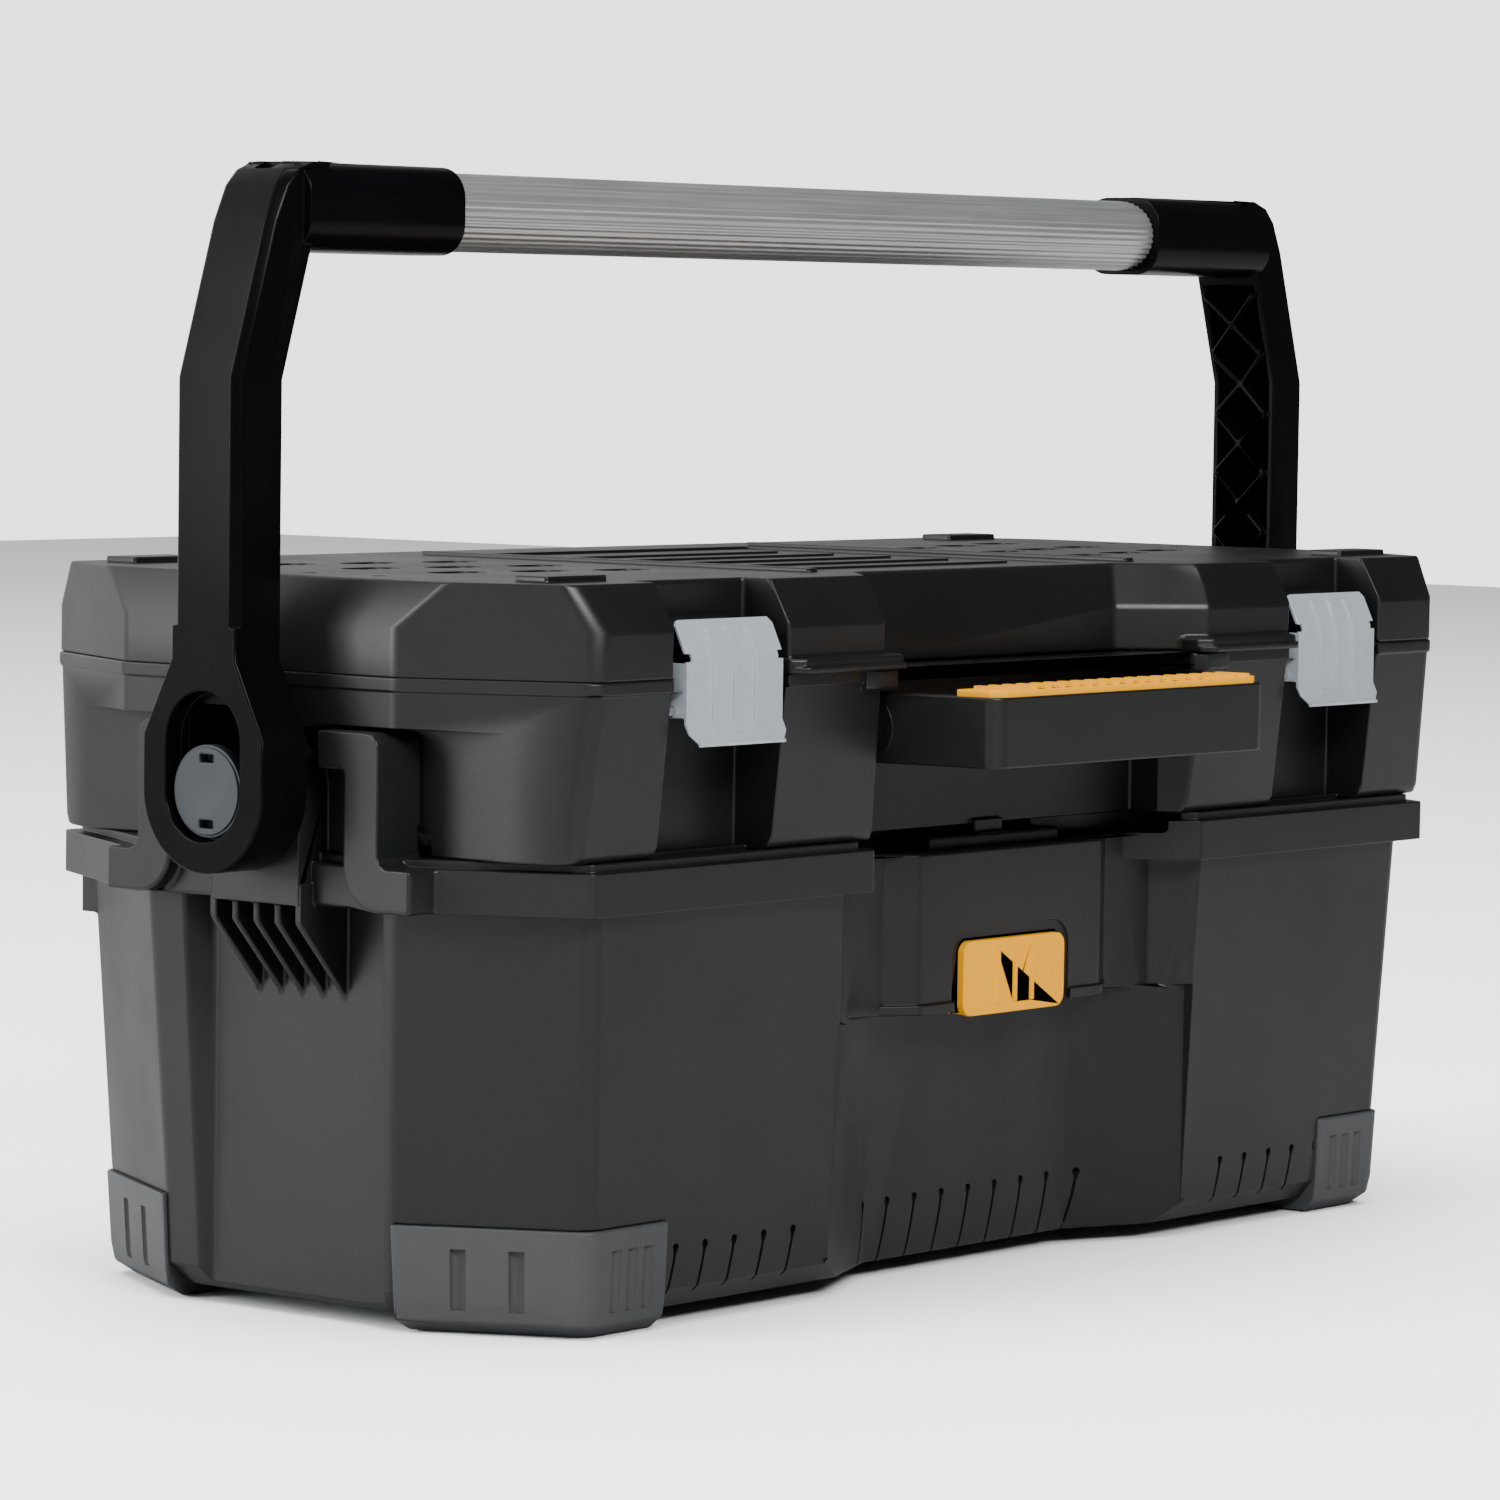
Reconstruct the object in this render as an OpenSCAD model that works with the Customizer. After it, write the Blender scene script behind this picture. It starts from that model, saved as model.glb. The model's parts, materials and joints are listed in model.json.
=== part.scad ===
/* [Tote] */
// Half length over the rim
rim_hx = 305; // [295:1:315]
// Half depth over the rim
rim_hy = 135; // [130:1:138]
// Top of the rim flange
rim_z = 172; // [168:1:174]
// Height of the rim flange
rim_h = 16; // [12:1:20]
// Wall thickness of the mouldings
wall = 3; // [2.5:0.5:3.5]
// Underside of the tub, above the feet
tub_z = 6; // [5:0.5:7]
// Height of the corner feet
foot_h = 40; // [32:1:46]
// Radius of the upright corners of the mouldings
corner_r = 9; // [4:1:9]

/* [Case] */
// Underside of the case
case_z = 175; // [175:0.5:176]
// Parting line between base and lid
seam_z = 241; // [239:1:243]
// Flat top of the lid
lid_z = 276; // [272:1:278]
// Half depth at the parting line
case_hy = 137; // [136:0.5:138]
// How far the lid's upper band slopes in at the front and rear
lid_setback = 9; // [6:1:10]

/* [Carry handle] */
// Half length over the arms
arm_x = 340; // [340:1:344]
// Height of the top of the sleeves
handle_z = 427; // [424:1:440]
// Width of an arm
arm_w = 32; // [28:1:34]
// Thickness of an arm
arm_t = 24; // [24:1:25]
// Height where the arms start to lean in
bend_z = 348; // [340:1:355]
// Travel of the handle in its slots
slot_travel = 18; // [10:1:18]
// Half width of the oval bar
bar_a = 16.5; // [14:0.5:16.5]
// Half height of the oval bar
bar_b = 14.5; // [12:0.5:14.5]
// Flutes round the bar
flutes = 36; // [24:4:48]

/* [Case handle] */
// Half length of the case handle at its pivots
grip_hx = 96; // [92:1:96]
// Half length of the case handle at its front
grip_front_hx = 90; // [84:1:90]
// Front face of the case handle
grip_y = 178.5; // [172:0.5:179]
// Underside of the case handle
grip_z = 204; // [204:0.5:206]
// Height of the case handle
grip_h = 27; // [22:1:27]

/* [Release button] */
// Half width of the button
button_hx = 33; // [26:1:33]
// Height of the button
button_h = 29.5; // [24:0.5:29.5]

/* [Hidden] */
$fn = 48;
eps = 0.01;
run = 0.05;                      // radial clearance of a running or sliding fit
gap = 0.02;                      // between two pieces that lie face to face

// The parts are drawn about the tub's own middle; the frame's origin lies under the middle
// of the whole object, which reaches further forward than back.
hinge_y = 142;
hinge_r = 5;
y_mid = (grip_y - hinge_y - hinge_r) / 2;

// Tub walls: plan sizes at the floor and under the rim
tub_top = rim_z - rim_h;
tub_hx = [290, 297];
tub_hy = [121.5, 128];
tub_ex = 286;                    // recessed end walls
chamf = [35, 66];                // corner chamfer, along the length and along the depth
recess_c = 116;                  // half width of the centre recess at the front face
rim_gap = 107;                   // half width of the gap in the rim in front of it
recess_i = 65;                   // and at its back wall
recess_y = 100;
plate_y = 112;                   // proud upper part of the recess wall
plate_z = 104;
end_y = [-57, -50, 38, 45];      // end recess: edge, floor, floor, edge
foot_x = 213;                    // inner ends of the corner feet
foot_y = 58;
foot_inset = 2.6;                // depth of the seats that the feet lie in
foot_proud = 1.2;
foot_groove_r = 3;

// Front panel and button
panel_y = 120;
panel_hx = [59, 72.5];
panel_top = 173.5;
button_z = 101.5;
button_front = 121.9;
house_hx = 42;
house_y = 91;
catch_y = [-103.6, -101.2];      // tongue of the button, front and back

// Towers and pivots
pivot_y = -6.5;
pivot_z = 198;
tower_x = 312;
tower_in = 288.5;
boss_r = 22;
post_dy = 52;                    // middle of a post, from the pivot
post_w = 17;
tower_top = 221;
axle_in = 290.5;                 // inner end of an axle
axle_r = 8;
bush_r = 10.4;
shoe_h = 12.45;
cap_r = 17;
loop_r = 30;
arm_in = arm_x - arm_t;
lean = 24;                       // how far the arms lean in by the top
sleeve_x = 222;
sleeve_hz = 16.5;
sleeve_z = handle_z - sleeve_hz;
bar_end = 288;

// Case
case_hx = 305;
case_low_hx = 287;               // ends set back below the towers' tops
case_step_z = 222.5;
case_hy_low = 130;
case_rear_y = 137;
latch_x = [164, 230];
latch_y = 112;
slot_c = 107;                    // half width of the recess behind the handle, at the front face
slot_i = 97;                     // and at its back wall
slot_y = 106;
lid_recess_i = 76;               // half width of the lid's recess at its back wall
lid_recess_c = 119;
skirt_h = 9;                     // skirt under the case
lid_mid_z = seam_z + 18;         // where the lid's upper band starts to slope
lid_sink = 1.2;                  // depth of the sunk middle of the lid and of its dimples
chamf_slope = 33 / 69;
chamf_y = 68;

// Latches
lp_y = -131.5;
lp_z = 229;
lp_r = 2;
plate_x = [169, 224.5];
plate_t = 1.5;

// Lid hinges
hinge_z = seam_z;
hpin_r = 2.5;
knuckle_x = 180;

// Case handle pivot
gp_y = -120;
gp_z = grip_z + grip_h / 2;
gp_r = 3;
grip_bar = 22;
grip_arm = 9;

// Tray
tray_hx = 268;
tray_hy = 88;
tray_z = 112;
tray_h = 40;

black = [0.13, 0.13, 0.14];
grey = [0.36, 0.36, 0.38];
slate = [0.32, 0.36, 0.40];
steel = [0.72, 0.75, 0.78];
alu = [0.64, 0.64, 0.64];
yellow = [0.98, 0.70, 0.08];

function lerp(a, t) = a[0] + (a[1] - a[0]) * t;
function flip_x(p) = [for (i = [len(p) - 1:-1:0]) [-p[i][0], p[i][1]]];
function flip_y(p) = [for (i = [len(p) - 1:-1:0]) [p[i][0], -p[i][1]]];
function both_sides(p) = concat(p, flip_x(p));
function unit(v) = v / norm(v);

// Outline with each corner turned into an arc of radius r, drawn with n steps
function rounded(p, r, n = 3) = let (m = len(p)) [for (i = [0:m - 1]) let (
    u = unit(p[(i + m - 1) % m] - p[i]),
    v = unit(p[(i + 1) % m] - p[i]),
    half = acos(u * v) / 2,
    c = p[i] + unit(u + v) * r / sin(half),
    a = p[i] + u * r / tan(half) - c,
    b = p[i] + v * r / tan(half) - c)
    for (j = [0:n]) c + r * unit(a * (n - j) + b * j)];

// Solid through rings of equal length, each [height, points counter-clockwise from above]
module loft(rings) {
    n = len(rings[0][1]);
    m = len(rings);
    pts = [for (r = rings) for (p = r[1]) [p[0], p[1], r[0]]];
    sides = [for (i = [0:m - 2]) for (j = [0:n - 1]) let (k = (j + 1) % n)
        [i * n + j, (i + 1) * n + j, (i + 1) * n + k, i * n + k]];
    floor_face = [for (j = [0:n - 1]) j];
    roof_face = [for (j = [n - 1:-1:0]) (m - 1) * n + j];
    polyhedron(points = pts, faces = concat([floor_face, roof_face], sides));
}

module placed() {
    translate([0, y_mid, 0]) children();
}

// Child drawn on the right, and again on the left
module both_ends() {
    children();
    mirror([1, 0, 0]) children();
}

// Cylinder along X from x0 to x1
module rod_x(r, x0, x1, y, z) {
    translate([x0, y, z]) rotate([0, 90, 0]) cylinder(r = r, h = x1 - x0);
}

// Box from its low corner to its high corner
module block(a, b) {
    translate(a) cube(b - a);
}

// ---- Tub ----

// Octagon with chamfered corners: half sizes, and where the chamfer leaves each side
function octagon(hx, hy, sx, sy) = both_sides([[sx, -hy], [hx, -sy], [hx, sy], [sx, hy]]);

// Plan of the tub's wall: t is 0 at the floor and 1 under the rim, o moves the outline outwards
function tub_plan(t, o) = let (hx = lerp(tub_hx, t) + o, hy = lerp(tub_hy, t) + o)
    rounded(octagon(hx, hy, hx - chamf[0], hy - chamf[1]), corner_r);

module tub_block(o, top) {
    loft([[tub_z - o, tub_plan(0, o - 6)], [tub_z - o + 8, tub_plan(0.05, o)],
        [tub_top + top, tub_plan(1, o)]]);
}

// Recess in the front wall, wide and deep below the plate and shallow above it, grown by g
module front_recess(g) {
    gx = 1.3 * g;
    translate([0, 0, tub_z - 9]) linear_extrude(plate_z - tub_z + 9 + g) polygon([
        [-recess_c - 6 - gx, -160], [-recess_c - gx, -tub_hy[0]], [-recess_i - gx / 2, g - recess_y],
        [recess_i + gx / 2, g - recess_y], [recess_c + gx, -tub_hy[0]], [recess_c + 6 + gx, -160]]);
    translate([0, 0, plate_z - 1]) linear_extrude(tub_top - plate_z + 12) polygon([
        [-recess_c - 28 - g, -160], [-recess_c + 12 - g, g - plate_y],
        [recess_c - 12 + g, g - plate_y], [recess_c + 28 + g, -160]]);
}

module end_recess(g) {
    translate([0, 0, tub_z - 9]) linear_extrude(tub_top - tub_z + 21) polygon([
        [tub_ex - g, end_y[1] - g], [330, end_y[0] - 20 - g], [330, end_y[3] + 20 + g],
            [tub_ex - g, end_y[2] + g]]);
}

module recesses(g) {
    front_recess(g);
    mirror([0, 1, 0]) front_recess(g);
    both_ends() end_recess(g);
}

function rim_plan(o) = let (
    f = [[plate_y - 26 - o, -plate_y - o], [rim_gap - o, -rim_hy - o],
        [rim_hx + o - chamf[0], -rim_hy - o], [rim_hx + o, -rim_hy - o + chamf[1]]])
    rounded(both_sides(concat(f, flip_y(f))), 4);

// Post of an end tower, seen along X: hook at the top, and a foot that turns into the rim,
// with a small fillet on the case's side and a large round below
module post_profile() {
    round_r = 17;
    fillet_r = 5;
    x0 = post_dy - post_w / 2;
    x1 = post_dy + post_w / 2;
    polygon(concat(
        [for (a = [0:15:90]) [x0 + round_r - round_r * cos(a), tub_top + round_r - round_r * sin(a)]],
        [[x1 + 16, tub_top], [x1 + 16, rim_z]],
        [for (a = [90:-22.5:0]) [x1 + fillet_r - fillet_r * cos(a), rim_z + fillet_r - fillet_r * sin(a)]],
        [for (a = [0:22.5:90]) [x1 - 6 + 6 * cos(a), tower_top - 6 + 6 * sin(a)]],
        [[x0 - 13, tower_top], [x0 - 13, tower_top - 14], [x0, tower_top - 14]]));
}

module tower() {
    for (s = [0, 1]) translate([tower_in, pivot_y, 0]) mirror([0, s, 0]) rotate([90, 0, 90])
        linear_extrude(tower_x - tower_in) post_profile();
    // web between the posts, set back to leave a pocket behind the arm
    block([tower_in, pivot_y - post_dy, tub_top], [tower_in + 8, pivot_y + post_dy, tower_top - 6]);
    // boss that holds the axle
    rod_x(boss_r, tower_in, tower_x, pivot_y, pivot_z);
    block([tower_in, pivot_y - boss_r, tub_top], [tower_x, pivot_y + boss_r, pivot_z]);
    // gusset fins under the boss
    for (i = [-2:2]) {
        translate([0, pivot_y + i * 10.7 + 1.5, 0]) rotate([90, 0, 0]) linear_extrude(3)
            polygon([[280, 118], [284, 118], [tower_x - 0.5, 149], [tower_x - 0.5, tub_top + 8],
                [280, tub_top + 8]]);
    }
}

// Outer form: a core all the way down, and the full wall wherever there is no foot
module tub_body() {
    tub_block(-foot_inset, 1);
    intersection() {
        tub_block(0, 1);
        union() {
            block([-foot_x, -200, 0], [foot_x, 200, 300]);
            block([-400, -foot_y, 0], [400, foot_y, 300]);
            block([-400, -200, foot_h], [400, 200, 300]);
        }
    }
}

module tub() color(black) placed() {
    difference() {
        union() {
            difference() {
                union() {
                    difference() {
                        tub_body();
                        recesses(0);
                    }
                    translate([0, 0, tub_top]) linear_extrude(rim_h) polygon(rim_plan(0));
                    translate([0, 0, rim_z - 1]) linear_extrude(case_z - eps - rim_z + 1)
                        polygon(rim_plan(-4.5));
                    translate([0, 0, plate_z]) linear_extrude(panel_top - plate_z) panel_plan(0);
                    translate([0, 0, plate_z]) linear_extrude(4) panel_plan(1.4);
                    both_ends() tower();
                }
                difference() {
                    tub_block(-wall, 30);
                    recesses(wall);
                }
            }
            tub_housing();
            tray_ledges();
            // ribs under the rear rim
            both_ends() block([258, 124, 140], [262, 134, tub_top + 2]);
        }
        button_pocket();
        both_ends() rod_x(axle_r + eps, axle_in - 0.1, tower_x + 1, pivot_y, pivot_z);
    }
}

module panel_plan(o) {
    polygon([[-panel_hx[1] - o, 1 - plate_y], [-panel_hx[1] - o, -plate_y], [-panel_hx[0] - o / 2,
        -panel_y - o],
        [panel_hx[0] + o / 2, -panel_y - o], [panel_hx[1] + o, -plate_y], [panel_hx[1] + o, 1 - plate_y]]);
}

module tub_housing() {
    block([-house_hx, -plate_y + 1, plate_z], [house_hx, -house_y, rim_z]);
    block([-house_hx, -recess_y + 2, button_z - 5], [house_hx, -house_y, plate_z + 1]);
}

// Pocket for the button, its tongue and its spring, open at the front and below
module button_pocket() {
    g = 0.6;
    block([-button_hx - g, -panel_y - 9, plate_z - 8], [button_hx + g, -recess_y - 1.5,
        button_z + button_h / 2]);
    translate([0, -house_y - 3.5, 0]) rotate([90, 0, 0]) linear_extrude(40) button_face(g);
    // shallow frame round the button
    translate([0, -panel_y + 1.2, 0]) rotate([90, 0, 0]) linear_extrude(10) button_face(5);
    // slot for the tongue and the catch of the case
    block([-12, -110, button_z + button_h - 1], [12, -house_y - 3.5, case_z + 1]);
}

module tray_ledges() {
    both_ends() block([256, -70, tray_z - 8], [tub_ex - 1, 56, tray_z]);
}

module foot(s, t) {
    mirror([s < 0 ? 1 : 0, 0, 0]) mirror([0, t < 0 ? 0 : 1, 0]) {
        difference() {
            intersection() {
                loft([[0, foot_plan(0, -5)], [5, foot_plan(0.03, 0.4)], [12, foot_plan(0.07, foot_proud)],
                    [foot_h, foot_plan(0.25, foot_proud)]]);
                block([foot_x + gap, -160, -1], [330, -foot_y - gap, foot_h - gap]);
            }
            foot_core();
            foot_grooves();
        }
    }
}

// Plan of the corner alone: front wall, chamfer and end wall, closed inside the tub
function foot_plan(t, o) = let (hx = lerp(tub_hx, t) + o, hy = lerp(tub_hy, t) + o) rounded([
    [200, -hy], [hx - chamf[0], -hy], [hx, -hy + chamf[1]], [hx, -20], [200, -20]], corner_r);

module foot_core() {
    loft([[tub_z + foot_inset, foot_plan(0, -foot_inset - 6)], [tub_z + foot_inset + 8,
        foot_plan(0.05, -foot_inset)],
        [tub_top, foot_plan(1, -foot_inset)]]);
}

// Upright grooves: three in the front face and two in the chamfer
module foot_grooves() {
    for (x = [224, 233, 242]) translate([x, -tub_hy[0], 0]) foot_groove();
    a = atan2(chamf[1], chamf[0]);
    for (d = [-11, 11]) {
        translate([tub_hx[0] - chamf[0] / 2, -tub_hy[0] + chamf[1] / 2, 0]) rotate([0, 0, a])
            translate([d, 0, 0])
            foot_groove();
    }
}

// One groove, leaning with the wall
module foot_groove() {
    translate([0, foot_groove_r * -0.93, 9]) rotate([2.4, 0, 0]) cylinder(r = foot_groove_r, h = 23);
}

module front_left_foot() color(grey) placed() foot(-1, -1);
module front_right_foot() color(grey) placed() foot(1, -1);
module rear_left_foot() color(grey) placed() foot(-1, 1);
module rear_right_foot() color(grey) placed() foot(1, 1);

// ---- Pivots ----

module axle() {
    difference() {
        rod_x(axle_r, axle_in, arm_in + 16.5, pivot_y, pivot_z);
        rod_x(4.01, arm_in + 4, arm_in + 17, pivot_y, pivot_z);
    }
}

module cap() {
    difference() {
        union() {
            rod_x(cap_r, arm_in + 16.6, arm_in + 21, pivot_y, pivot_z);
            rod_x(cap_r - 1, arm_in + 20.9, arm_in + 21.8, pivot_y, pivot_z);
            rod_x(4, arm_in + 5, arm_in + 17, pivot_y, pivot_z);
        }
        for (s = [-1, 1]) translate([arm_in + 20, pivot_y, pivot_z + s * 12])
            cube([6, 7, 3], center = true);
    }
}

module bush() {
    difference() {
        union() {
            rod_x(bush_r, tower_x + 0.4, arm_in + 15.9, pivot_y, pivot_z);
            rod_x(15, tower_x + 0.4, arm_in - 0.4, pivot_y, pivot_z);
        }
        rod_x(axle_r + run, tower_x, arm_in + 16, pivot_y, pivot_z);
    }
}

module shoe() {
    difference() {
        block([arm_in + 0.5, pivot_y - shoe_h, pivot_z - shoe_h], [arm_in + 15.5, pivot_y + shoe_h,
            pivot_z + shoe_h]);
        rod_x(bush_r + run, arm_in, arm_in + 16, pivot_y, pivot_z);
    }
}

module right_pivot_axle() color(steel) placed() axle();
module left_pivot_axle() color(steel) placed() mirror([1, 0, 0]) axle();
module right_pivot_cap() color(slate) placed() cap();
module left_pivot_cap() color(slate) placed() mirror([1, 0, 0]) cap();
module right_pivot_bush() color(grey) placed() bush();
module left_pivot_bush() color(grey) placed() mirror([1, 0, 0]) bush();
module right_slot_shoe() color(grey) placed() shoe();
module left_slot_shoe() color(grey) placed() mirror([1, 0, 0]) shoe();

// ---- Carry handle ----

// Outline of the loop round the slot, seen along X from the pivot
module loop_outline() {
    circle(r = loop_r, $fn = 96);
    polygon([[-loop_r, 0], [loop_r, 0], [loop_r, 20], [arm_w / 2, 48], [arm_w / 2, 60], [-arm_w / 2, 60],
        [-arm_w / 2, 48], [-loop_r, 20]]);
}

module slot_outline(r) {
    circle(r = r, $fn = 96);
    translate([0, slot_travel]) circle(r = r, $fn = 96);
    translate([-r, 0]) square([2 * r, slot_travel]);
}

// Section of an arm: outer face at x, thickness t, outer corners cut by c
function arm_plan(x, t, w, c) = [[x - t, pivot_y - w / 2], [x - c, pivot_y - w / 2],
    [x, pivot_y - w / 2 + c],
    [x, pivot_y + w / 2 - c], [x - c, pivot_y + w / 2], [x - t, pivot_y + w / 2]];

function lean_at(z) = max(0, (z - bend_z) / (handle_z - bend_z) * lean);

module arm_shaft() {
    loft([for (r = [[pivot_z + 55, 0, 3], [bend_z, 0, 3], [handle_z - 22, 0, 3], [handle_z - 9, 1.5, 3.5],
            [handle_z - 3, 5, 4], [handle_z, 12, 5]])
        [r[0], arm_plan(arm_x - lean_at(r[0]) - r[1], arm_t - r[1], arm_w, r[2])]]);
}

module arm_pocket() {
    loft([for (z = [pivot_z + 58, bend_z, sleeve_z - sleeve_hz - 4])
        [z, arm_plan(arm_x - lean_at(z) - wall, arm_t, arm_w - 2 * wall, eps)]]);
}

module arm_lattice() {
    pitch = (arm_w - 2 * wall);
    n = 5;
    for (i = [0:n - 1]) for (s = [-1, 1]) {
        translate([arm_x - lean / 2 - 8, pivot_y, pivot_z + 58 + pitch * (i + 0.5)]) rotate([s * 45, 0, 0])
            cube([lean + 20, 2, pitch * 1.5], center = true);
    }
}

function bar_outline(o) = [for (i = [0:4 * flutes - 1]) let (
    a = i * 360 / (4 * flutes),
    k = 0.35 * cos(a * flutes))
    [(bar_a + o + k) * cos(a), (bar_b + o + k) * sin(a)]];

module along_x(x0, x1) {
    translate([x0, pivot_y, sleeve_z]) rotate([90, 0, 90]) linear_extrude(x1 - x0) children();
}

// Upright rectangle with round corners, centred
module round_rect(hy, hz, r) {
    for (s = [-1, 1]) for (t = [-1, 1]) translate([s * (hy - r), t * (hz - r)]) circle(r = r, $fn = 48);
    square([2 * hy, 2 * (hz - r)], center = true);
    square([2 * (hy - r), 2 * hz], center = true);
}

module arm() {
    slot_hw = shoe_h + run;
    difference() {
        union() {
            translate([arm_in, pivot_y, pivot_z]) rotate([90, 0, 90]) linear_extrude(arm_t) loop_outline();
            difference() {
                arm_shaft();
                arm_pocket();
            }
            intersection() {
                arm_pocket();
                arm_lattice();
            }
            along_x(sleeve_x, arm_x - lean - arm_t + 14) round_rect(bar_a + 3.4, sleeve_hz, 12);
        }
        translate([arm_in + 16, pivot_y, pivot_z]) rotate([90, 0, 90]) linear_extrude(10)
            slot_outline(cap_r + 1.5);
        block([arm_in - 1, pivot_y - slot_hw, pivot_z - slot_hw],
            [arm_in + 17, pivot_y + slot_hw, pivot_z + slot_hw + slot_travel]);
        along_x(sleeve_x - 1, bar_end + 0.5) polygon(bar_outline(0.1));
        // small window in the top outer corner
        translate([arm_x - lean - 9, pivot_y, handle_z - 2]) cube([7, 9, 6], center = true);
        bar_screw_hole(2.05, 4.1);
    }
}

module bar_screw_hole(r, head_r) {
    translate([sleeve_x + 26, pivot_y, sleeve_z - sleeve_hz - 1]) cylinder(r = r, h = 10);
    translate([sleeve_x + 26, pivot_y, sleeve_z - sleeve_hz - 1]) cylinder(r = head_r, h = 1.9);
}

module right_arm() color(black) placed() arm();
module left_arm() color(black) placed() mirror([1, 0, 0]) arm();

module handle_bar() color(alu) placed() {
    difference() {
        along_x(-bar_end, bar_end) polygon(bar_outline(0));
        along_x(-bar_end - 1, bar_end + 1) scale([1, (bar_b - 2) / (bar_a - 2)]) circle(r = bar_a - 2,
            $fn = 96);
        both_ends() translate([sleeve_x + 26, pivot_y, sleeve_z - bar_b - 2]) cylinder(r = 2.05, h = 6);
    }
}

module bar_screws() color(steel) placed() {
    both_ends() translate([sleeve_x + 26, pivot_y, sleeve_z - sleeve_hz]) {
        cylinder(r = 2, h = 7);
        difference() {
            cylinder(r = 4, h = 0.9);
            translate([0, 0, -0.5]) cylinder(r = 1.8, h = 1, $fn = 6);
        }
    }
}

// ---- Release button ----

// Front view of the button, grown by o
module button_face(o) {
    polygon(rounded([[-button_hx - o, button_z - o], [button_hx + o, button_z - o],
        [button_hx + o, button_z + button_h + o], [-button_hx - o, button_z + button_h + o]], 5 + o, 5));
}

module release_button() color(yellow) placed() {
    z1 = button_z + button_h;
    difference() {
        union() {
            translate([0, catch_y[1], 0]) rotate([90, 0, 0]) linear_extrude(button_front + catch_y[1])
                button_face(0);
            // moulded finger ridges on the face
            for (i = [-1:1]) block([i * 11 - 1, -button_front - 0.8, button_z + 4],
                [i * 11 + 1, -button_front + 1, z1 - 4]);
            // tongue with its nose, which holds the catch of the case
            block([-10, catch_y[0], z1 - 2], [10, catch_y[1], case_z - 3]);
            translate([-10, 0, 0]) rotate([90, 0, 90]) linear_extrude(20)
                polygon([[catch_y[0] + 0.5, case_z - 9], [catch_y[0] - 2, case_z - 6], [catch_y[0] - 2,
                    case_z - 5],
                    [catch_y[0] + 0.5, case_z - 3]]);
        }
        block([-button_hx + 2.5, -button_front + 2.5, button_z - 1], [button_hx - 2.5, catch_y[1] + 1,
            z1 - 2.5]);
    }
    // boss the spring sits on
    translate([0, -button_front + 2, button_z + button_h / 2]) rotate([-90, 0, 0]) cylinder(r = 3.2, h = 7);
}

// Coil spring between the button's face and the back of its pocket
module button_spring() color(steel) placed() {
    r = 4.6;
    wire = 0.5;
    turns = 7;
    per_turn = 12;
    y0 = -button_front + 2.5 + wire + 0.05;
    y1 = -house_y - 3.5 - wire - 0.05;
    n = turns * per_turn;
    pts = [for (i = [0:n]) for (k = [0:7]) let (
        a = i * 360 / per_turn,
        b = k * 45,
        rr = r + wire * cos(b))
        [rr * cos(a), y0 + (y1 - y0) * i / n + wire * sin(b), button_z + button_h / 2 + rr * sin(a)]];
    sides = [for (i = [0:n - 1]) for (k = [0:7]) let (q = (k + 1) % 8)
        [i * 8 + k, i * 8 + q, (i + 1) * 8 + q, (i + 1) * 8 + k]];
    ends = [[for (k = [7:-1:0]) k], [for (k = [0:7]) n * 8 + k]];
    polyhedron(points = pts, faces = concat(ends, sides));
}

// ---- Tray ----

module tray() color(grey) placed() {
    t = 2.4;
    top = tray_z + tray_h;
    difference() {
        union() {
            loft([[tray_z, tray_plan(-5)], [tray_z + 3, tray_plan(-2)], [top, tray_plan(0)]]);
            loft([[top - 3, tray_plan(0.5)], [top, tray_plan(2)]]);
        }
        difference() {
            loft([[tray_z + t, tray_plan(-8)], [tray_z + 5, tray_plan(-t - 2)], [top + 1, tray_plan(-t)]]);
            for (x = [-150, 150]) block([x - 1, -tray_hy, tray_z], [x + 1, tray_hy, top - 8]);
            block([-tray_hx, -1, tray_z], [-150, 1, top - 12]);
            tray_handle();
        }
    }
}

function tray_plan(o) = both_sides([[tray_hx - 24 + o, -tray_hy - o], [tray_hx + o, -tray_hy - o + 24],
    [tray_hx + o, tray_hy + o - 24], [tray_hx - 24 + o, tray_hy + o]]);

// Rib across the middle with a finger hole under its top edge
module tray_handle() {
    difference() {
        block([-150, -2, tray_z], [150, 2, tray_z + tray_h - 0.01]);
        translate([0, 0, tray_z + tray_h - 20]) block([-50, -5, 0], [50, 5, 14]);
        rotate([90, 0, 0]) translate([0, 0, -5]) linear_extrude(10)
            polygon([[-151, tray_z + tray_h + 1], [-151, tray_z + tray_h - 18],
                [-90, tray_z + tray_h - 18], [-70, tray_z + tray_h + 1]]);
        rotate([90, 0, 0]) translate([0, 0, -5]) linear_extrude(10)
            polygon([[151, tray_z + tray_h + 1], [151, tray_z + tray_h - 18], [90, tray_z + tray_h - 18],
                [70, tray_z + tray_h + 1]]);
    }
}

// ---- Case ----

// Plain octagon of the base, its chamfers in line with the lid's
function base_oct(hx, hy, o) = rounded(octagon(hx + o, hy + o,
    case_hx - (hy - chamf_y) * chamf_slope + o, chamf_y + (case_hx - hx) / chamf_slope + o), corner_r);

// The base's block, grown by o, its ends set back below the towers' tops
module base_block(o) {
    difference() {
        loft([[case_z - o, base_oct(case_hx - 2, case_hy_low - 2, o)],
            [case_z - o + 4, base_oct(case_hx, lerp([case_hy_low, case_hy], 0.06), o)],
            [seam_z + (o < 0 ? 5 : -eps), base_oct(case_hx, case_hy, o)]]);
        both_ends() block([case_low_hx + o, -200, case_z - 20], [400, 200, case_step_z - o]);
    }
}

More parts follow.
